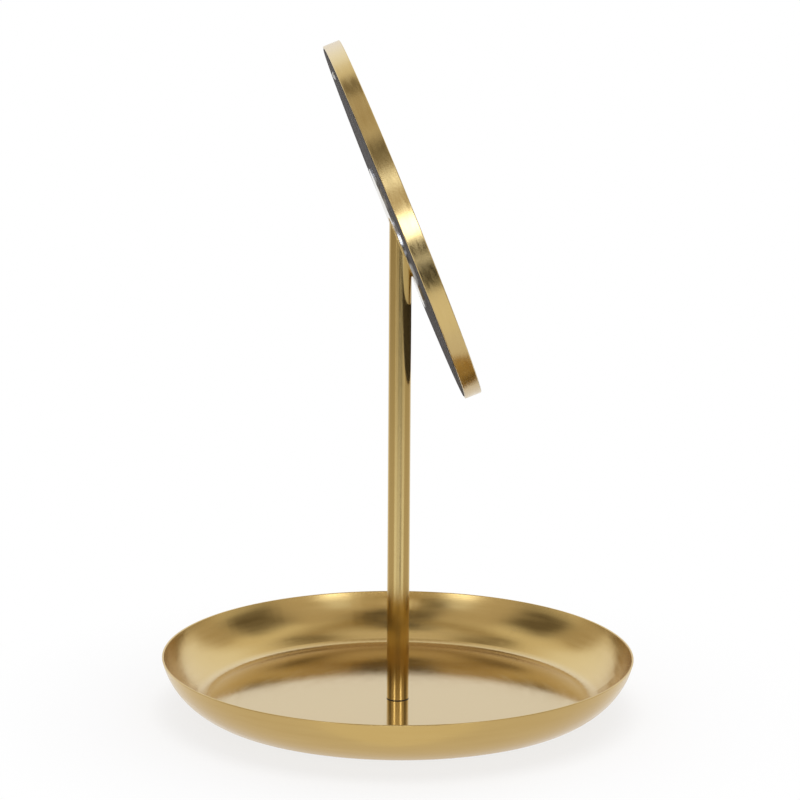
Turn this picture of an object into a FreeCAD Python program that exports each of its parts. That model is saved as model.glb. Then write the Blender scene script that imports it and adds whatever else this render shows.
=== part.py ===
"""Dresser vanity tray: a spun brass dish with a round tilted mirror on a central post.

The dish stands on a thin pad. The post turns about the dish's centre line on one screw, and its
mitred head is brazed to a round plate on the back of the mirror.
Origin: centre of the underside, on the surface the tray stands on. +Z up, +X the way the mirror faces.
"""
import FreeCAD, Part
import math
import os
import re

import Sketcher
from FreeCAD import Rotation, Vector

DIMENSIONS = [
    # the pad under the dish
    ("pad_radius", 62.0),
    ("pad_thickness", 3.3),
    ("pad_hole_radius", 11.0),
    # the dish: flat floor, a soft bend, a wall of one arc, plain cut rim
    ("dish_sheet", 0.8),
    ("dish_rim_height", 20.5),
    ("dish_rim_round", 0.25),
    ("dish_hole_radius", 2.3),
    ("floor_bend_radius", 12.0),
    ("wall_arc_radius", 30.0),
    ("wall_arc_centre_out", 71.0),
    ("wall_arc_centre_rise", 27.6),
    # the post
    ("post_radius", 4.7),
    ("post_wall", 1.0),
    ("post_rise", 197.8),
    # the pivot stack at the foot of the post
    ("foot_washer_radius", 4.7),
    ("foot_washer_thickness", 0.25),
    ("under_washer_radius", 7.0),
    ("under_washer_thickness", 0.5),
    ("steel_washer_radius", 6.0),
    ("steel_washer_thickness", 0.5),
    ("wave_washer_radius", 4.4),
    ("wave_washer_thickness", 0.4),
    ("screw_radius", 2.0),
    ("screw_head_radius", 4.0),
    ("screw_head_height", 1.5),
    ("screw_grip", 12.0),
    ("screw_slot_width", 1.0),
    ("screw_slot_depth", 0.8),
    ("turning_gap", 0.05),
    ("insert_length", 16.0),
    # the mirror head, its depths measured from the back edge of its band
    ("mirror_tilt", 21.9),
    ("mirror_offset", 7.4),
    ("band_radius", 78.3),
    ("band_depth", 7.2),
    ("band_wall", 0.9),
    ("band_lip_thickness", 0.8),
    ("band_lip_width", 2.6),
    ("band_edge_round", 0.35),
    ("back_face", -0.2),
    ("back_thickness", 1.0),
    ("back_clearance", 0.25),
    ("plate_radius", 31.0),
    ("plate_thickness", 1.0),
    ("plate_raise", 1.2),
    ("rivet_circle", 20.0),
    ("rivet_radius", 1.5),
    ("rivet_head_radius", 2.5),
    ("rivet_head_height", 1.0),
    ("screw_circle", 66.0),
    ("tab_inner", 61.0),
    ("tab_width", 9.0),
    ("tab_thickness", 1.8),
    ("small_screw_radius", 1.0),
    ("small_head_radius", 1.8),
    ("small_head_height", 0.8),
    ("small_head_dome", 2.6),
    ("cross_length", 2.0),
    ("cross_width", 0.5),
    ("cross_depth", 0.45),
    ("glass_thickness", 3.0),
    ("glass_clearance", 0.2),
    ("foam_inner_radius", 30.0),
    ("foam_outer_radius", 58.0),
]
PLATE_RIVETS = 4
RIM_TABS = 3

doc = FreeCAD.newDocument("vanity_tray")
sheet = doc.addObject("Spreadsheet::Sheet", "Sizes")
for row, (alias, value) in enumerate(DIMENSIONS, start=1):
    sheet.set("A%d" % row, alias)
    sheet.set("B%d" % row, str(value))
    sheet.setAlias("B%d" % row, alias)
doc.recompute()


def size(alias):
    """A driving dimension as a number."""
    return float(sheet.get(alias))


def bound(formula):
    """The formula with every dimension's alias written as a reference to its cell."""
    aliases = {alias for alias, _ in DIMENSIONS}
    return re.sub(r"[a-z_]+", lambda word: "Sizes." * (word.group() in aliases) + word.group(), formula)


# Heights of the stack, each a formula of driving dimensions.
FLOOR_TOP = "pad_thickness + dish_sheet"
POST_FOOT = FLOOR_TOP + " + foot_washer_thickness + turning_gap"
CONTACT = FLOOR_TOP + " + post_rise"
PLATE_BACK = "back_face - plate_thickness"
PLATE_CENTRE = "mirror_offset - plate_raise"
BACK_FRONT = "back_face + back_thickness"
GLASS_BACK = "band_depth - band_lip_thickness - glass_thickness"


def stand(piece, height):
    """Put an upright piece on the centre line at a height."""
    piece.setExpression("Placement.Base.z", bound(height))


def face(piece, depth, down="0", side="0"):
    """Lay a piece in the mirror's own frame: its Z runs from the back to the glass.

    depth is measured from the band's back edge; down and side from the mirror's centre.
    """
    piece.Placement.Rotation = Rotation(Vector(0, 1, 0), 90 - size("mirror_tilt"))
    piece.setExpression("Placement.Rotation.Angle", bound("90 deg - mirror_tilt * 1 deg"))
    fall = "(%s - mirror_offset)" % down
    piece.setExpression("Placement.Base.x", bound(
        "%s * sin(mirror_tilt * 1 deg) + (%s) * cos(mirror_tilt * 1 deg)" % (fall, depth)))
    piece.setExpression("Placement.Base.y", bound(side))
    piece.setExpression("Placement.Base.z", bound(
        "%s - %s * cos(mirror_tilt * 1 deg) + (%s) * sin(mirror_tilt * 1 deg)"
        % (CONTACT, fall, depth)))


def cylinder(name, radius, height):
    piece = doc.addObject("Part::Cylinder", name)
    piece.setExpression("Radius", bound(radius))
    piece.setExpression("Height", bound(height))
    return piece


def box(name, length, width, height):
    piece = doc.addObject("Part::Box", name)
    piece.setExpression("Length", bound(length))
    piece.setExpression("Width", bound(width))
    piece.setExpression("Height", bound(height))
    return piece


def cut(name, base, tool):
    piece = doc.addObject("Part::Cut", name)
    piece.Base = base
    piece.Tool = tool
    return piece


def fuse(name, shapes):
    piece = doc.addObject("Part::MultiFuse", name)
    piece.Shapes = shapes
    return piece


def group(name, shapes):
    piece = doc.addObject("Part::Compound", name)
    piece.Links = shapes
    return piece


def ring(name, outer, inner, height, place, level):
    """A flat ring; place seats both cylinders at the level."""
    disc = cylinder(name + "_disc", outer, height)
    hole = cylinder(name + "_hole", inner, height)
    place(disc, level)
    place(hole, level)
    return cut(name, disc, hole)


def origin_plane(body, role):
    return next(item for item in body.Origin.OriginFeatures if item.Role == role)


def revolved(name, draw):
    """A body revolved about its own Z axis from a half section drawn in its XZ plane."""
    body = doc.addObject("PartDesign::Body", name)
    sketch = body.newObject("Sketcher::SketchObject", name + "_section")
    sketch.AttachmentSupport = [(origin_plane(body, "XZ_Plane"), "")]
    sketch.MapMode = "FlatFace"
    draw(sketch)
    doc.recompute()
    turned = body.newObject("PartDesign::Revolution", name + "_turned")
    turned.Profile = sketch
    turned.ReferenceAxis = (sketch, ["V_Axis"])
    turned.Angle = 360
    doc.recompute()
    return body, turned


def distance(sketch, kind, geometry, vertex, name, formula):
    """A named distance from the sketch's origin, bound to a formula."""
    index = sketch.addConstraint(Sketcher.Constraint(kind, -1, 1, geometry, vertex, 1.0))
    sketch.renameConstraint(index, name)
    sketch.setExpression("Constraints." + name, bound(formula))


def closed_lines(sketch, corners):
    """A closed outline of straight lines through the corners, each given as two formulas."""
    values = [Vector(*(evaluated(part) for part in corner), 0) for corner in corners]
    count = len(corners)
    for index in range(count):
        line = Part.LineSegment(values[index], values[(index + 1) % count])
        sketch.addGeometry(line, False)
    for index in range(count):
        sketch.addConstraint(Sketcher.Constraint("Coincident", index, 2, (index + 1) % count, 1))
    for index, (out, up) in enumerate(corners):
        distance(sketch, "DistanceX", index, 1, "out_%d" % index, out)
        if up == "0":
            sketch.addConstraint(Sketcher.Constraint("PointOnObject", index, 1, -1))
        else:
            distance(sketch, "DistanceY", index, 1, "up_%d" % index, up)


def evaluated(formula):
    """The value of a formula of driving dimensions."""
    total = 0.0
    sign = 1.0
    for word in formula.split():
        if word in "+-":
            sign = -1.0 if word == "-" else 1.0
        else:
            total += sign * (size(word) if word[0].isalpha() else float(word))
    return total


def rounded(body, feature, name, radius, wanted):
    """Round the edges of the feature that the test picks."""
    edges = ["Edge%d" % number for number, edge in enumerate(feature.Shape.Edges, start=1) if wanted(edge)]
    rounding = body.newObject("PartDesign::Fillet", body.Name + "_" + name)
    rounding.Base = (feature, edges)
    rounding.setExpression("Radius", bound(radius))
    body.Tip = rounding
    doc.recompute()
    return rounding


def full_circle(edge):
    return len(edge.Vertexes) == 1 and hasattr(edge.Curve, "Radius")


def circle_at(level, wider_than):
    """A test for the full circles at a level that are wider than a radius."""
    def wanted(edge):
        return (full_circle(edge) and abs(edge.Vertexes[0].Z - level) < 1e-4
                and edge.Curve.Radius > wider_than)
    return wanted


# ---------------------------------------------------------------- the dish and its pad

def draw_dish(sketch):
    """Flat floor with a screw hole, and a wall whose two faces are concentric arcs."""
    hole = size("dish_hole_radius")
    thick = size("dish_sheet")
    rim = size("dish_rim_height")
    out = size("wall_arc_centre_out")
    rise = size("wall_arc_centre_rise")
    radius = size("wall_arc_radius")

    def on_arc(r, level):
        return Vector(out + (r * r - (rise - level) ** 2) ** 0.5, level, 0)

    def arc(r, low, high):
        centre = Vector(out, rise, 0)
        start = on_arc(r, low) - centre
        end = on_arc(r, high) - centre
        circle = Part.Circle(centre, Vector(0, 0, 1), r)
        return Part.ArcOfCircle(circle, math.atan2(start.y, start.x), math.atan2(end.y, end.x))

    inner = radius - thick
    sketch.addGeometry(Part.LineSegment(Vector(hole, 0, 0), on_arc(radius, 0)), False)
    sketch.addGeometry(arc(radius, 0, rim), False)
    sketch.addGeometry(Part.LineSegment(on_arc(radius, rim), on_arc(inner, rim)), False)
    sketch.addGeometry(arc(inner, thick, rim), False)
    sketch.addGeometry(Part.LineSegment(on_arc(inner, thick), Vector(hole, thick, 0)), False)
    sketch.addGeometry(Part.LineSegment(Vector(hole, thick, 0), Vector(hole, 0, 0)), False)
    joined = [(0, 2, 1, 1), (1, 2, 2, 1), (2, 2, 3, 2), (3, 1, 4, 1), (4, 2, 5, 1), (5, 2, 0, 1),
              (1, 3, 3, 3)]
    for pair in joined:
        sketch.addConstraint(Sketcher.Constraint("Coincident", *pair))
    sketch.addConstraint(Sketcher.Constraint("PointOnObject", 0, 1, -1))
    sketch.addConstraint(Sketcher.Constraint("Horizontal", 0))
    sketch.addConstraint(Sketcher.Constraint("Horizontal", 2))
    sketch.addConstraint(Sketcher.Constraint("Horizontal", 4))
    sketch.addConstraint(Sketcher.Constraint("Vertical", 5))
    distance(sketch, "DistanceX", 0, 1, "hole", "dish_hole_radius")
    distance(sketch, "DistanceY", 4, 2, "sheet", "dish_sheet")
    distance(sketch, "DistanceY", 1, 2, "rim", "dish_rim_height")
    distance(sketch, "DistanceX", 1, 3, "centre_out", "wall_arc_centre_out")
    distance(sketch, "DistanceY", 1, 3, "centre_rise", "wall_arc_centre_rise")
    for geometry, name, formula in ((1, "outside", "wall_arc_radius"),
                                    (3, "inside", "wall_arc_radius - dish_sheet")):
        index = sketch.addConstraint(Sketcher.Constraint("Radius", geometry, 1.0 + radius))
        sketch.renameConstraint(index, name)
        sketch.setExpression("Constraints." + name, bound(formula))


dish, dish_turned = revolved("tray_dish", draw_dish)
HOLE = size("dish_hole_radius")
dish_bent = rounded(dish, dish_turned, "inner_bend", "floor_bend_radius - dish_sheet",
                    circle_at(size("dish_sheet"), HOLE + 1))
dish_bent = rounded(dish, dish_bent, "outer_bend", "floor_bend_radius", circle_at(0, HOLE + 1))
rounded(dish, dish_bent, "rim_rounding", "dish_rim_round", circle_at(size("dish_rim_height"), HOLE))
stand(dish, "pad_thickness")

pad = ring("base_pad", "pad_radius", "pad_hole_radius", "pad_thickness", stand, "0")

# ---------------------------------------------------------------- the pivot at the foot of the post

foot_washer = ring("foot_washer", "foot_washer_radius", "dish_hole_radius", "foot_washer_thickness",
                   stand, FLOOR_TOP)
under_washer = ring("under_washer", "under_washer_radius", "dish_hole_radius", "under_washer_thickness",
                    stand, "pad_thickness - under_washer_thickness")
STEEL_TOP = "pad_thickness - under_washer_thickness - turning_gap"
STEEL_LOW = STEEL_TOP + " - steel_washer_thickness"
WAVE_LOW = STEEL_LOW + " - wave_washer_thickness"
steel_washer = ring("steel_washer", "steel_washer_radius", "screw_radius", "steel_washer_thickness",
                    stand, STEEL_LOW)
wave_washer = ring("wave_washer", "wave_washer_radius", "screw_radius", "wave_washer_thickness",
                   stand, WAVE_LOW)

screw_shank = cylinder("screw_shank", "screw_radius", "screw_grip")
stand(screw_shank, WAVE_LOW)
screw_head = cylinder("screw_head", "screw_head_radius", "screw_head_height")
stand(screw_head, WAVE_LOW + " - screw_head_height")
screw_blank = fuse("screw_blank", [screw_shank, screw_head])
screw_slot = box("screw_slot", "screw_head_radius * 2", "screw_slot_width", "screw_slot_depth")
screw_slot.setExpression("Placement.Base.x", bound("0 - screw_head_radius"))
screw_slot.setExpression("Placement.Base.y", bound("0 - screw_slot_width / 2"))
stand(screw_slot, WAVE_LOW + " - screw_head_height")
post_screw = cut("post_screw", screw_blank, screw_slot)

foot_insert = ring("foot_insert", "post_radius - post_wall", "screw_radius", "insert_length", stand, POST_FOOT)

# ---------------------------------------------------------------- the post, cut off along the plate's back

post_outside = cylinder("post_outside", "post_radius", "post_rise + post_radius * 4")
stand(post_outside, POST_FOOT)
post_inside = cylinder("post_inside", "post_radius - post_wall", "post_rise + post_radius * 4")
stand(post_inside, POST_FOOT)
post_blank = cut("post_blank", post_outside, post_inside)
post_mitre = cylinder("post_mitre", "plate_radius * 2", "band_depth * 5")
face(post_mitre, PLATE_BACK, "mirror_offset")
post_tube = cut("post_tube", post_blank, post_mitre)

# ---------------------------------------------------------------- the mirror head

def around(count, radius, centre):
    """Equal steps round a circle, the first at the top: the number, down and side of each."""
    for number in range(1, count + 1):
        angle = (number - 1) * 360.0 / count
        down = "%s - %s * cos(%g deg)" % (centre, radius, angle)
        side = "%s * sin(%g deg)" % (radius, angle)
        yield number, down, side


def shank(name, radius, low, high, down, side="0"):
    """A plain round piece from one depth to another."""
    piece = cylinder(name, radius, "%s - (%s)" % (high, low))
    face(piece, low, down, side)
    return piece


def draw_band(sketch):
    """A straight wall with a narrow lip turned in over the glass."""
    inside = "band_radius - band_wall"
    lip = "band_radius - band_lip_width"
    under_lip = "band_depth - band_lip_thickness"
    closed_lines(sketch, [(inside, "0"), ("band_radius", "0"), ("band_radius", "band_depth"),
                          (lip, "band_depth"), (lip, under_lip), (inside, under_lip)])


band, band_turned = revolved("frame_band", draw_band)
rounded(band, band_turned, "edge_rounding", "band_edge_round",
        lambda edge: full_circle(edge) and abs(edge.Curve.Radius - size("band_radius")) < 1e-4)
face(band, "0")

glass = cylinder("mirror_glass", "band_radius - band_wall - glass_clearance", "glass_thickness")
face(glass, GLASS_BACK)

foam = ring("foam_ring", "foam_outer_radius", "foam_inner_radius",
            GLASS_BACK + " - (" + BACK_FRONT + ")", face, BACK_FRONT)

# ---------------------------------------------------------------- the plate that carries the mirror

RIVET_SPOTS = list(around(PLATE_RIVETS, "rivet_circle", PLATE_CENTRE))

plate_disc = shank("plate_disc", "plate_radius", PLATE_BACK, "back_face", PLATE_CENTRE)
plate_holes = group("plate_holes", [
    shank("plate_hole_%d" % number, "rivet_radius", PLATE_BACK, "back_face", down, side)
    for number, down, side in RIVET_SPOTS])
mounting_plate = cut("mounting_plate", plate_disc, plate_holes)


def rivet(number, down, side):
    """Flush with the plate's back, with a flat head inside the mirror."""
    body = shank("rivet_body_%d" % number, "rivet_radius", PLATE_BACK, BACK_FRONT, down, side)
    head = shank("rivet_head_%d" % number, "rivet_head_radius", BACK_FRONT,
                 BACK_FRONT + " + rivet_head_height", down, side)
    return fuse("rivet_%d" % number, [body, head])


plate_rivets = group("plate_rivets", [rivet(*spot) for spot in RIVET_SPOTS])

# ---------------------------------------------------------------- the back, its seats and its screw

SCREW_DOWN = "0 - screw_circle"
TAB_FRONT = BACK_FRONT + " + tab_thickness"

back_disc = cylinder("back_disc", "band_radius - band_wall - back_clearance", "back_thickness")
face(back_disc, "back_face")
screw_hole = shank("screw_hole", "small_screw_radius", "back_face", BACK_FRONT, SCREW_DOWN)
rivet_holes = [shank("rivet_hole_%d" % number, "rivet_radius", "back_face", BACK_FRONT, down, side)
               for number, down, side in RIVET_SPOTS]
back_holes = group("back_holes", [screw_hole] + rivet_holes)
back_plate = cut("back_plate", back_disc, back_holes)


def mirror_frame(depth):
    """The mirror's frame at a depth, as a placement."""
    turn = Rotation(Vector(0, 1, 0), 90 - size("mirror_tilt"))
    centre = Vector(0, 0, evaluated(CONTACT)) - turn.multVec(Vector(size("mirror_offset"), 0, 0))
    return FreeCAD.Placement(centre + turn.multVec(Vector(0, 0, evaluated(depth))), turn)


def tab_block(number):
    """A block with its long way along the radius, through the band's wall."""
    block = box("tab_block_%d" % number, "band_radius - tab_inner", "tab_width", "tab_thickness")
    spin = FreeCAD.Placement(Vector(), Rotation(Vector(0, 0, 1), (number - 1) * 360.0 / RIM_TABS))
    corner = Vector(-size("band_radius"), -size("tab_width") / 2, 0)
    block.Placement = mirror_frame(BACK_FRONT) * spin * FreeCAD.Placement(corner, Rotation())
    return block


tab_blank = group("tab_blank", [tab_block(number) for number in range(1, RIM_TABS + 1)])
tab_reach = shank("tab_reach", "band_radius - band_wall", BACK_FRONT, TAB_FRONT, "0")
tab_trimmed = doc.addObject("Part::MultiCommon", "tab_trimmed")
tab_trimmed.Shapes = [tab_blank, tab_reach]
tab_hole = shank("tab_hole", "small_screw_radius", BACK_FRONT, TAB_FRONT, SCREW_DOWN)
rim_tabs = cut("rim_tabs", tab_trimmed, tab_hole)

# A small domed screw with a cross recess, through the back into the top tab.
HEAD_BACK = "back_face - small_head_height"

small_shank = shank("small_shank", "small_screw_radius", "back_face", TAB_FRONT, SCREW_DOWN)
head_blank = shank("head_blank", "small_head_radius", HEAD_BACK, "back_face", SCREW_DOWN)
head_dome = doc.addObject("Part::Sphere", "head_dome")
head_dome.setExpression("Radius", bound("small_head_dome"))
face(head_dome, HEAD_BACK + " + small_head_dome", SCREW_DOWN)
domed_head = doc.addObject("Part::MultiCommon", "domed_head")
domed_head.Shapes = [head_blank, head_dome]
cross_slots = []
for name, long, wide in (("slot_down", "cross_length", "cross_width"),
                         ("slot_side", "cross_width", "cross_length")):
    slot = box(name, long, wide, "cross_depth")
    face(slot, HEAD_BACK, "%s - %s / 2" % (SCREW_DOWN, long), "0 - %s / 2" % wide)
    cross_slots.append(slot)
crossed_head = cut("crossed_head", domed_head, fuse("cross_recess", cross_slots))
back_screw = fuse("back_screw", [small_shank, crossed_head])

# ---------------------------------------------------------------- check and write

NODES = [dish, pad, foot_washer, under_washer, steel_washer, wave_washer, post_screw, foot_insert,
         post_tube, mounting_plate, plate_rivets, back_plate, back_screw, rim_tabs, band, foam, glass]
SOLIDS = {"plate_rivets": PLATE_RIVETS, "rim_tabs": RIM_TABS}

doc.recompute()
for item in doc.Objects:
    if "Invalid" in item.State or "Error" in item.State:
        raise RuntimeError("%s failed: %s" % (item.Name, item.State))

os.makedirs("parts", exist_ok=True)
for node in NODES:
    node.Label = node.Name
    shape = node.Shape
    expected = SOLIDS.get(node.Label, 1)
    if shape.isNull() or not shape.isValid() or len(shape.Solids) != expected:
        raise RuntimeError("%s has a bad shape" % node.Label)
    shape.exportStep(os.path.join("parts", node.Label + ".step"))
    print("%-16s %10.1f mm3" % (node.Label, shape.Volume))
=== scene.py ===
"""The looks of the dresser vanity tray: a spun brass dish, a brass post and a tilted round mirror."""
import math

import bpy
from mathutils import Matrix, Vector


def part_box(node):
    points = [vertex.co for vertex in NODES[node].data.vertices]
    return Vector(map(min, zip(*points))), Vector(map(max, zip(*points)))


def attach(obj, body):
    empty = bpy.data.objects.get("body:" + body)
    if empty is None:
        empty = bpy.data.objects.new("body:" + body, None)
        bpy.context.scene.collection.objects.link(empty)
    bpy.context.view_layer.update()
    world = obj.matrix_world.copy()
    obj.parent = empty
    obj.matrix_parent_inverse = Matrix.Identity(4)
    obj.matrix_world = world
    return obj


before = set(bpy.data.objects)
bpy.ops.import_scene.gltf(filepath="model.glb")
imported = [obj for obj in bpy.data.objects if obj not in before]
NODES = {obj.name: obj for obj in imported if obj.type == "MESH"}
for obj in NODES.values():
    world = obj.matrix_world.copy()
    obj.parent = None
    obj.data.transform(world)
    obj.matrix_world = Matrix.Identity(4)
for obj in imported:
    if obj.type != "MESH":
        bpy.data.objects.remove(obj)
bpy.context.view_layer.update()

# Where the mirror head sits: its centre, read from the frame, and its slant from upright.
GLASS_LOW, GLASS_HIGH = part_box("mirror_glass")
MIRROR_TILT = math.radians(21.9)
MIRROR_CENTRE = (GLASS_LOW + GLASS_HIGH) / 2

# How thick the mounting plate is.
PLATE_THICKNESS = 0.001

# The radius of the glass that shows inside the band's lip, and how wide its darker edge is.
MIRROR_VIEW = 0.0757
DARK_RING_WIDTH = 0.0016

# The post's radius, read from the frame, and the radii where the dish's flat floor ends and its
# wall begins.
POST_LOW, POST_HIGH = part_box("post_tube")
POST_RADIUS = (POST_HIGH.y - POST_LOW.y) / 2
FLOOR_END = 0.080
WALL_START = 0.087

# The camera, as a distance and a direction from a point close to the post's centre line.
CAMERA_DISTANCE = 1.3708
CAMERA_AIM = (0.0002, 0.0, 0.134)
CAMERA_ELEVATION = math.radians(12.09)
CAMERA_TURN = math.radians(5.1)
CAMERA_ROLL = math.radians(0.38)
CAMERA_LENS = 147.5


# ------------------------------------------------------------------ node helpers

def link(tree, source, target):
    tree.links.new(source, target)


def math_node(tree, operation, first, second=None, clamp=False):
    """A Math node; each input is a socket or a number."""
    node = tree.nodes.new("ShaderNodeMath")
    node.operation = operation
    node.use_clamp = clamp
    for index, value in enumerate((first, second)):
        if value is None:
            continue
        if isinstance(value, (int, float)):
            node.inputs[index].default_value = value
        else:
            link(tree, value, node.inputs[index])
    return node.outputs[0]


def ramp(tree, value, low, high, out_low=0.0, out_high=1.0):
    """A smooth step of a value from one level to another."""
    node = tree.nodes.new("ShaderNodeMapRange")
    node.interpolation_type = "SMOOTHSTEP"
    node.inputs["From Min"].default_value = low
    node.inputs["From Max"].default_value = high
    node.inputs["To Min"].default_value = out_low
    node.inputs["To Max"].default_value = out_high
    link(tree, value, node.inputs["Value"])
    return node.outputs["Result"]


def mix_colour(tree, factor, first, second, blend="MIX"):
    """A colour mix; each colour is a socket or three numbers."""
    node = tree.nodes.new("ShaderNodeMix")
    node.data_type = "RGBA"
    node.blend_type = blend
    for socket, value in ((node.inputs[0], factor), (node.inputs[6], first), (node.inputs[7], second)):
        if isinstance(value, (int, float)):
            socket.default_value = value
        elif isinstance(value, tuple):
            socket.default_value = (*value, 1.0)
        else:
            link(tree, value, socket)
    return node.outputs[2]


def noise(tree, vector, scale, detail=2.0, roughness=0.5):
    node = tree.nodes.new("ShaderNodeTexNoise")
    node.inputs["Scale"].default_value = scale
    node.inputs["Detail"].default_value = detail
    node.inputs["Roughness"].default_value = roughness
    link(tree, vector, node.inputs["Vector"])
    return node.outputs["Fac"]


def combine(tree, x, y, z):
    node = tree.nodes.new("ShaderNodeCombineXYZ")
    for socket, value in zip(node.inputs, (x, y, z)):
        if isinstance(value, (int, float)):
            socket.default_value = value
        else:
            link(tree, value, socket)
    return node.outputs[0]


def new_group(name, inputs, outputs):
    """An empty shader node group with named float, colour and vector sockets."""
    tree = bpy.data.node_groups.new(name, "ShaderNodeTree")
    kinds = {"value": "NodeSocketFloat", "colour": "NodeSocketColor", "vector": "NodeSocketVector"}
    for label, kind, default in inputs:
        socket = tree.interface.new_socket(name=label, in_out="INPUT", socket_type=kinds[kind])
        if default is not None:
            socket.default_value = default
    for label, kind in outputs:
        tree.interface.new_socket(name=label, in_out="OUTPUT", socket_type=kinds[kind])
    return tree, tree.nodes.new("NodeGroupInput"), tree.nodes.new("NodeGroupOutput")


def place_group(tree, group, **values):
    """Put a group in a material and set or link its inputs by name."""
    node = tree.nodes.new("ShaderNodeGroup")
    node.node_tree = group
    for label, value in values.items():
        socket = node.inputs[label.replace("_", " ")]
        if isinstance(value, (int, float, tuple)):
            socket.default_value = value
        else:
            link(tree, value, socket)
    return node


# ------------------------------------------------------------------ shared effects

def build_turned_grain():
    """Fine lines that run round an axis, as a lathe or a belt leaves them.

    The vector is in the piece's own frame with the axis along Z. Along is how fast the lines
    change across themselves, Around how fast they change along their length.
    """
    tree, given, result = new_group(
        "turned grain",
        [("Vector", "vector", None), ("Across", "value", 4000.0), ("Along", "value", 3.0)],
        [("Fine", "value"), ("Broad", "value")])
    broad_rate = 0.12
    split = tree.nodes.new("ShaderNodeSeparateXYZ")
    link(tree, given.outputs["Vector"], split.inputs[0])
    square_x = math_node(tree, "MULTIPLY", split.outputs[0], split.outputs[0])
    square_y = math_node(tree, "MULTIPLY", split.outputs[1], split.outputs[1])
    radius = math_node(tree, "SQRT", math_node(tree, "ADD", square_x, square_y))
    safe = math_node(tree, "MAXIMUM", radius, 1e-5)
    travel = math_node(tree, "ADD", radius, split.outputs[2])
    across = math_node(tree, "MULTIPLY", travel, given.outputs["Across"])
    unit_x = math_node(tree, "DIVIDE", split.outputs[0], safe)
    unit_y = math_node(tree, "DIVIDE", split.outputs[1], safe)
    turn_x = math_node(tree, "MULTIPLY", unit_x, given.outputs["Along"])
    turn_y = math_node(tree, "MULTIPLY", unit_y, given.outputs["Along"])
    fine = noise(tree, combine(tree, across, turn_x, turn_y), 1.0, 3.0, 0.65)
    slow = math_node(tree, "MULTIPLY", across, broad_rate)
    broad = noise(tree, combine(tree, slow, turn_y, turn_x), 1.0, 2.0, 0.5)
    link(tree, fine, result.inputs["Fine"])
    link(tree, broad, result.inputs["Broad"])
    return tree


def build_handling_marks():
    """Soft clouds and small faint marks from handling and wiping."""
    tree, given, result = new_group(
        "handling marks",
        [("Vector", "vector", None), ("Cloud scale", "value", 14.0), ("Mark scale", "value", 160.0)],
        [("Cloud", "value"), ("Marks", "value")])
    cloud = tree.nodes.new("ShaderNodeTexNoise")
    cloud.inputs["Detail"].default_value = 3.0
    link(tree, given.outputs["Vector"], cloud.inputs["Vector"])
    link(tree, given.outputs["Cloud scale"], cloud.inputs["Scale"])
    marks = tree.nodes.new("ShaderNodeTexNoise")
    marks.inputs["Detail"].default_value = 4.0
    marks.inputs["Roughness"].default_value = 0.7
    link(tree, given.outputs["Vector"], marks.inputs["Vector"])
    link(tree, given.outputs["Mark scale"], marks.inputs["Scale"])
    link(tree, ramp(tree, cloud.outputs["Fac"], 0.35, 0.65), result.inputs["Cloud"])
    link(tree, ramp(tree, marks.outputs["Fac"], 0.55, 0.75), result.inputs["Marks"])
    return tree


TURNED_GRAIN = build_turned_grain()
HANDLING_MARKS = build_handling_marks()


# ------------------------------------------------------------------ materials

def new_material(name):
    """A material with a Principled shader, and its tree."""
    material = bpy.data.materials.new(name)
    material.use_nodes = True
    tree = material.node_tree
    return material, tree, tree.nodes["Principled BSDF"]


def own_coordinates(tree, centre=(0.0, 0.0, 0.0), turn=(0.0, 0.0, 0.0)):
    """Object coordinates moved to a piece's own centre and turn."""
    coordinates = tree.nodes.new("ShaderNodeTexCoord")
    mapping = tree.nodes.new("ShaderNodeMapping")
    mapping.vector_type = "TEXTURE"
    mapping.inputs["Location"].default_value = centre
    mapping.inputs["Rotation"].default_value = turn
    link(tree, coordinates.outputs["Object"], mapping.inputs["Vector"])
    return mapping.outputs["Vector"]


def out_from_axis(tree, vector):
    """How far a point is from the Z axis of a set of coordinates."""
    split = tree.nodes.new("ShaderNodeSeparateXYZ")
    link(tree, vector, split.inputs[0])
    length = tree.nodes.new("ShaderNodeVectorMath")
    length.operation = "LENGTH"
    link(tree, combine(tree, split.outputs[0], split.outputs[1], 0.0), length.inputs[0])
    return length.outputs["Value"]


MIRROR_FRAME = {"centre": tuple(MIRROR_CENTRE), "turn": (0.0, math.pi / 2 - MIRROR_TILT, 0.0)}


def bump(tree, shader, height, distance, strength):
    node = tree.nodes.new("ShaderNodeBump")
    node.inputs["Distance"].default_value = distance
    node.inputs["Strength"].default_value = strength
    link(tree, height, node.inputs["Height"])
    link(tree, node.outputs["Normal"], shader.inputs["Normal"])
    return node


# How far clouds darken a metal, how much marks roughen it, and how strongly its grain stands out.
CLOUD_SHADE = 0.18
MARK_ROUGHNESS = 0.05
GRAIN_STRENGTH = 0.35


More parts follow.
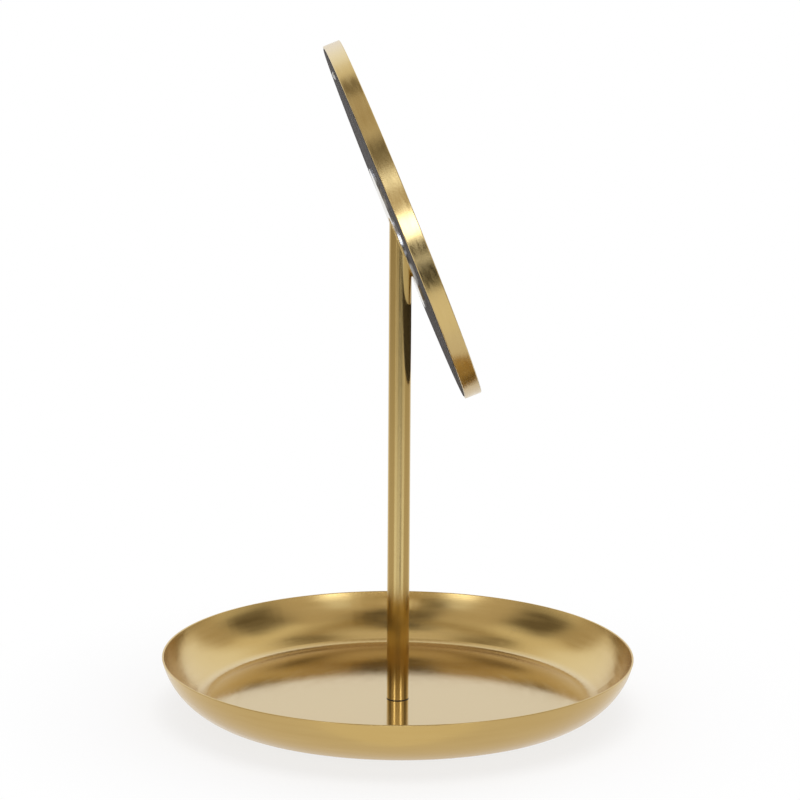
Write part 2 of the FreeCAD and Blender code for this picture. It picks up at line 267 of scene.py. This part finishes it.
def grained_metal(name, colours, roughness, frame_of_piece, across, along, depth, tint=0.35,
                  cloud_scale=14.0):
    """Satin metal with lines that run round the piece's axis.

    colours are the dark and the pale end of its colour; roughness its low and high end.
    """
    material, tree, shader = new_material(name)
    vector = own_coordinates(tree, **frame_of_piece)
    grain = place_group(tree, TURNED_GRAIN, Vector=vector, Across=across, Along=along)
    marks = place_group(tree, HANDLING_MARKS, Vector=vector, Cloud_scale=cloud_scale)
    tone = mix_colour(tree, grain.outputs["Broad"], *colours)
    toned = mix_colour(tree, math_node(tree, "MULTIPLY", grain.outputs["Fine"], tint), tone, colours[1])
    shade = math_node(tree, "MULTIPLY", marks.outputs["Cloud"], CLOUD_SHADE)
    link(tree, mix_colour(tree, shade, toned, colours[0]), shader.inputs["Base Color"])
    rough = ramp(tree, grain.outputs["Broad"], 0.3, 0.7, *roughness)
    smears = math_node(tree, "MULTIPLY", marks.outputs["Marks"], MARK_ROUGHNESS)
    link(tree, math_node(tree, "ADD", rough, smears), shader.inputs["Roughness"])
    shader.inputs["Metallic"].default_value = 1.0
    bump(tree, shader, grain.outputs["Fine"], depth, GRAIN_STRENGTH)
    return material, tree, shader


def dish_brass():
    """Spun brass: a closely finished floor inside a wall with coarser satin; the floor is painted paler, a
    painted sheen for its whiter reflection at a low angle.
    """
    floor_share = 0.5
    # How far the floor's colour is painted paler, as a painted sheen.
    painted_floor_sheen = 0.7
    material, tree, shader = grained_metal(
        "spun dish brass", ((0.560, 0.385, 0.135), (0.640, 0.455, 0.172)), (0.17, 0.24),
        {}, across=2600.0, along=4.0, depth=0.00002)
    wall = ramp(tree, out_from_axis(tree, own_coordinates(tree)), FLOOR_END, WALL_START)
    satin = shader.inputs["Roughness"].links[0].from_socket
    close = math_node(tree, "ADD", math_node(tree, "MULTIPLY", wall, 1.0 - floor_share), floor_share)
    link(tree, math_node(tree, "MULTIPLY", satin, close), shader.inputs["Roughness"])
    tone = shader.inputs["Base Color"].links[0].from_socket
    # Painted sheen: the floor's paler colour stands in for the whiter reflection it shows at a low angle.
    pale = mix_colour(tree, painted_floor_sheen, tone, (0.650, 0.535, 0.335))
    link(tree, mix_colour(tree, wall, pale, tone), shader.inputs["Base Color"])
    return material


def post_brass():
    material, _, _ = grained_metal(
        "post brass", ((0.540, 0.385, 0.135), (0.630, 0.460, 0.180)), (0.14, 0.18),
        {}, across=900.0, along=30.0, depth=0.00001)
    return material


def band_brass():
    material, _, _ = grained_metal(
        "brushed band brass", ((0.590, 0.425, 0.165), (0.690, 0.520, 0.225)), (0.15, 0.21),
        MIRROR_FRAME, across=5200.0, along=9.0, depth=0.00003)
    return material


def dark_back():
    """Dark powder-coated steel, matt and slightly mottled."""
    material, tree, shader = new_material("charcoal coating")
    vector = own_coordinates(tree, **MIRROR_FRAME)
    marks = place_group(tree, HANDLING_MARKS, Vector=vector, Cloud_scale=26.0, Mark_scale=420.0)
    tone = mix_colour(tree, marks.outputs["Cloud"], (0.082, 0.076, 0.072), (0.106, 0.099, 0.094))
    link(tree, tone, shader.inputs["Base Color"])
    rough = ramp(tree, marks.outputs["Marks"], 0.0, 1.0, 0.80, 0.90)
    link(tree, rough, shader.inputs["Roughness"])
    shader.inputs["Specular IOR Level"].default_value = 0.08
    bump(tree, shader, marks.outputs["Marks"], 0.00002, 0.3)
    return material


def bright_plate():
    material, _, _ = grained_metal(
        "bright plate", ((0.74, 0.73, 0.70), (0.86, 0.85, 0.82)), (0.10, 0.16),
        MIRROR_FRAME, across=3000.0, along=5.0, depth=0.000006, tint=0.2)
    return material


def plated_steel():
    material, _, _ = grained_metal(
        "plated steel", ((0.52, 0.52, 0.50), (0.66, 0.66, 0.63)), (0.22, 0.34),
        {}, across=2500.0, along=6.0, depth=0.00001, tint=0.2)
    return material


def mirror_silver():
    """Silvered glass under a faint film of wiping marks, darker in a thin ring at its edge next to the
    band's lip.
    """
    material, tree, shader = new_material("mirror silver")
    vector = own_coordinates(tree, **MIRROR_FRAME)
    marks = place_group(tree, HANDLING_MARKS, Vector=vector, Cloud_scale=20.0, Mark_scale=90.0)
    tone = mix_colour(tree, marks.outputs["Cloud"], (0.86, 0.885, 0.88), (0.89, 0.91, 0.905))
    # A thin darker ring at the glass's edge, next to the band's lip.
    edge = ramp(tree, out_from_axis(tree, vector), MIRROR_VIEW - DARK_RING_WIDTH, MIRROR_VIEW)
    link(tree, mix_colour(tree, edge, tone, (0.42, 0.45, 0.44)), shader.inputs["Base Color"])
    link(tree, ramp(tree, marks.outputs["Marks"], 0.0, 1.0, 0.001, 0.003), shader.inputs["Roughness"])
    shader.inputs["Metallic"].default_value = 1.0
    return material


def foam_rubber():
    """Closed-cell foam, matt with a fine pebble."""
    material, tree, shader = new_material("black foam")
    vector = own_coordinates(tree)
    cells = tree.nodes.new("ShaderNodeTexVoronoi")
    cells.inputs["Scale"].default_value = 1400.0
    link(tree, vector, cells.inputs["Vector"])
    marks = place_group(tree, HANDLING_MARKS, Vector=vector, Cloud_scale=30.0)
    tone = mix_colour(tree, marks.outputs["Cloud"], (0.018, 0.018, 0.019), (0.034, 0.034, 0.035))
    link(tree, tone, shader.inputs["Base Color"])
    link(tree, ramp(tree, cells.outputs["Distance"], 0.0, 0.8, 0.75, 0.95), shader.inputs["Roughness"])
    bump(tree, shader, cells.outputs["Distance"], 0.0001, 0.5)
    return material


def black_nylon():
    material, tree, shader = new_material("black nylon")
    vector = own_coordinates(tree)
    marks = place_group(tree, HANDLING_MARKS, Vector=vector, Cloud_scale=300.0, Mark_scale=900.0)
    tone = mix_colour(tree, marks.outputs["Cloud"], (0.020, 0.019, 0.018), (0.032, 0.030, 0.028))
    link(tree, tone, shader.inputs["Base Color"])
    link(tree, ramp(tree, marks.outputs["Marks"], 0.0, 1.0, 0.45, 0.6), shader.inputs["Roughness"])
    return material


FINISHES = {
    dish_brass: ["tray_dish"],
    post_brass: ["post_tube", "rim_tabs"],
    band_brass: ["frame_band"],
    dark_back: ["back_plate"],
    bright_plate: ["mounting_plate", "plate_rivets"],
    plated_steel: ["back_screw", "post_screw", "steel_washer", "wave_washer", "foot_insert"],
    mirror_silver: ["mirror_glass"],
    foam_rubber: ["base_pad", "foam_ring"],
    black_nylon: ["foot_washer", "under_washer"],
}
for make, names in FINISHES.items():
    finish = make()
    for name in names:
        for slot in NODES[name].material_slots:
            slot.material = finish


# ------------------------------------------------------------------ pieces the frame doesn't hold

def add_braze_fillet():
    """The thin bead of braze round the mitre, where the post meets the mounting plate."""
    plate_low, plate_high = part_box("mounting_plate")
    bead = 0.00032
    across = math.cos(MIRROR_TILT)
    back = (plate_low + plate_high) / 2 - Vector((across, 0, math.sin(MIRROR_TILT))) * PLATE_THICKNESS / 2
    rise = back.z + back.x / math.tan(MIRROR_TILT)
    bpy.ops.object.select_all(action="DESELECT")
    bpy.ops.mesh.primitive_torus_add(major_segments=96, minor_segments=12, major_radius=POST_RADIUS,
                                     minor_radius=bead, location=(0, 0, 0))
    fillet = bpy.context.object
    fillet.name = "braze_fillet"
    bpy.ops.object.mode_set(mode="EDIT")
    bpy.ops.mesh.select_all(action="SELECT")
    bpy.ops.transform.resize(value=(1 / math.sin(MIRROR_TILT), 1, 1), center_override=(0, 0, 0))
    bpy.ops.object.mode_set(mode="OBJECT")
    fillet.data.transform(Matrix.Rotation(math.pi / 2 - MIRROR_TILT, 4, "Y"))
    fillet.data.transform(Matrix.Translation((0, 0, rise)))
    bpy.ops.object.shade_smooth()
    fillet.data.materials.append(bpy.data.materials["post brass"])
    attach(fillet, "mirror_head")
    return fillet


# ------------------------------------------------------------------ floor, light and camera

# The floor's radius, how deep its shadow is, the radii between which that fades, and how far the
# floor lies below the pad.
FLOOR_RADIUS = 3.0
SHADOW_DEPTH = 0.24
SHADOW_FADE = (0.10, 0.20)
FLOOR_GAP = 0.0001


def add_floor():
    """A pale disc that keeps a light shadow under the object and fades to plain white."""
    bpy.ops.object.select_all(action="DESELECT")
    bpy.ops.mesh.primitive_circle_add(vertices=96, radius=FLOOR_RADIUS, fill_type="NGON",
                                      location=(0, 0, 0))
    floor = bpy.context.object
    floor.data.transform(Matrix.Translation((0, 0, -FLOOR_GAP)))
    floor.name = "floor"
    material = bpy.data.materials.new("pale floor")
    material.use_nodes = True
    tree = material.node_tree
    shader = tree.nodes["Principled BSDF"]
    shader.inputs["Base Color"].default_value = (0.88, 0.88, 0.88, 1.0)
    shader.inputs["Roughness"].default_value = 0.9
    shader.inputs["Specular IOR Level"].default_value = 0.0
    white = tree.nodes.new("ShaderNodeEmission")
    coordinates = tree.nodes.new("ShaderNodeTexCoord")
    length = tree.nodes.new("ShaderNodeVectorMath")
    length.operation = "LENGTH"
    link(tree, coordinates.outputs["Object"], length.inputs[0])
    rays = tree.nodes.new("ShaderNodeLightPath")
    pale = ramp(tree, length.outputs["Value"], *SHADOW_FADE, 1.0 - SHADOW_DEPTH, 1.0)
    blend = tree.nodes.new("ShaderNodeMixShader")
    link(tree, math_node(tree, "MULTIPLY", pale, rays.outputs["Is Camera Ray"]), blend.inputs[0])
    link(tree, shader.outputs[0], blend.inputs[1])
    link(tree, white.outputs[0], blend.inputs[2])
    link(tree, blend.outputs[0], tree.nodes["Material Output"].inputs[0])
    floor.data.materials.append(material)
    floor.visible_glossy = False
    return floor


def window(tree, value, low, high, soft):
    """One between two levels, nought outside them, with soft edges."""
    rising = ramp(tree, value, low - soft, low + soft)
    falling = ramp(tree, value, high - soft, high + soft, 1.0, 0.0)
    return math_node(tree, "MULTIPLY", rising, falling)


# The studio that the metal reflects: a white tent with soft boxes, dim gaps and dark cards.
# Each is (sides, azimuths, heights, softness, brightness), in degrees. Azimuths are counted from
# the main camera's side, and BOTH repeats a panel to its left and right. Later ones lie on top.
BOTH = "both"
ONE = "one"
STUDIO = [
    (BOTH, (-20, 200), (60, 74), 6, 0.52),
    (BOTH, (-20, 200), (74, 100), 5, 0.80),
    (BOTH, (105, 137), (58, 72), 5, 0.26),
    (BOTH, (24, 72), (8, 58), 6, 0.68),
    (BOTH, (68, 103), (12, 46), 8, 0.17),
    (BOTH, (103, 125), (4, 36), 6, 0.60),
    (BOTH, (127, 170), (8, 46), 6, 1.14),
    (BOTH, (-20, 22), (-4, 46), 4, 0.62),
    (BOTH, (-20, 27), (46, 66), 4, 0.15),
    (ONE, (-28, -13), (24, 46), 3, 0.18),
    (ONE, (-9, 2), (29, 41), 2, 2.20),
    (ONE, (-9, 13), (-1, 12), 3, 4.00),
    (BOTH, (52, 125), (-21, -12), 3, 0.70),
    (BOTH, (52, 125), (-12, 4), 3, 0.42),
    (BOTH, (-20, 20), (-21, -12), 2, 1.05),
    (BOTH, (-20, 22), (-12.0, -2), 1, 0.10),
    (BOTH, (24, 48), (-21, -12.5), 3, 1.30),
    (BOTH, (22, 48), (-12.0, 4), 3, 0.38),
    (ONE, (7, 25), (-32, -16), 2, 0.04),
    (BOTH, (26, 40), (11, 19), 3, 4.00),
    (BOTH, (28, 40), (19, 38), 3, 1.05),
    (BOTH, (50, 200), (-100, -30), 10, 0.84),
]
STUDIO_WHITE = (0.95, 0.94, 0.92)
WARM = (1.0, 0.88, 0.72)
COOL = (1.0, 1.08, 1.30)
WARM_BELOW = 0.55
COOL_ABOVE = 1.10

# The pale room that the mirror shows: slanting panels, so many to a full turn.
ROOM_PANELS = 14
ROOM_TONES = ((0.56, 0.585, 0.60), (0.98, 0.985, 0.99))


def studio_tone(brightness):
    """The colour of a patch: dim ones are warm and bright ones slightly cool."""
    share = min(max((brightness - WARM_BELOW) / (COOL_ABOVE - WARM_BELOW), 0.0), 1.0)
    return tuple(brightness * (warm + (cool - warm) * share) for warm, cool in zip(WARM, COOL))


def light_studio():
    """Lay the studio over the world as a function of direction."""
    world = bpy.data.worlds.new("studio")
    bpy.context.scene.world = world
    world.use_nodes = True
    tree = world.node_tree
    background = tree.nodes["Background"]
    coordinates = tree.nodes.new("ShaderNodeTexCoord")
    split = tree.nodes.new("ShaderNodeSeparateXYZ")
    link(tree, coordinates.outputs["Generated"], split.inputs[0])
    front = math_node(tree, "MULTIPLY", split.outputs[1], -1.0)
    turned = math_node(tree, "ARCTAN2", split.outputs[0], front)
    azimuth = math_node(tree, "ADD", math_node(tree, "MULTIPLY", turned, 180.0 / math.pi),
                        math.degrees(CAMERA_TURN))
    azimuths_by_side = {ONE: azimuth, BOTH: math_node(tree, "ABSOLUTE", azimuth)}
    height = math_node(tree, "MULTIPLY", math_node(tree, "ARCSINE", split.outputs[2]), 180.0 / math.pi)
    colour = STUDIO_WHITE
    for sides, azimuths, heights, soft, brightness in STUDIO:
        mask = math_node(tree, "MULTIPLY", window(tree, azimuths_by_side[sides], *azimuths, soft),
                         window(tree, height, *heights, soft))
        colour = mix_colour(tree, mask, colour, studio_tone(brightness))
    slant = math_node(tree, "MULTIPLY", math_node(tree, "ADD", azimuth, height),
                      math.radians(ROOM_PANELS))
    room = mix_colour(tree, ramp(tree, math_node(tree, "SINE", slant), -0.9, 0.9), *ROOM_TONES)
    rays = tree.nodes.new("ShaderNodeLightPath")
    colour = mix_colour(tree, rays.outputs["Is Singular Ray"], colour, room)
    seen = math_node(tree, "MAXIMUM", rays.outputs["Is Camera Ray"], rays.outputs["Is Transmission Ray"])
    link(tree, mix_colour(tree, seen, colour, (1.0, 1.0, 1.0)), background.inputs["Color"])


def add_lamp(name, place, aim, width, power):
    """A soft square lamp that looks at a point."""
    data = bpy.data.lights.new(name, "AREA")
    data.shape = "SQUARE"
    data.size = width
    data.energy = power
    lamp = bpy.data.objects.new(name, data)
    bpy.context.scene.collection.objects.link(lamp)
    lamp.location = place
    lamp.visible_glossy = False
    lamp.rotation_euler = (Vector(aim) - Vector(place)).to_track_quat("-Z", "Y").to_euler()
    return lamp


def add_camera():
    data = bpy.data.cameras.new("camera")
    data.lens = CAMERA_LENS
    data.clip_start = 0.01
    camera = bpy.data.objects.new("camera", data)
    bpy.context.scene.collection.objects.link(camera)
    turned = Matrix.Rotation(-CAMERA_TURN, 4, "Z") @ Matrix.Rotation(math.pi / 2 - CAMERA_ELEVATION, 4, "X")
    aim = Matrix.Translation(CAMERA_AIM)
    camera.matrix_world = aim @ turned @ Matrix.Translation((0, 0, CAMERA_DISTANCE)) \
        @ Matrix.Rotation(CAMERA_ROLL, 4, "Z")
    bpy.context.scene.camera = camera


add_braze_fillet()
add_floor()
light_studio()
add_lamp("overhead", place=(0.1, -0.1, 1.5), aim=(0, 0, 0), width=1.0, power=9.0)
add_camera()
bpy.context.scene.view_settings.view_transform = "Standard"
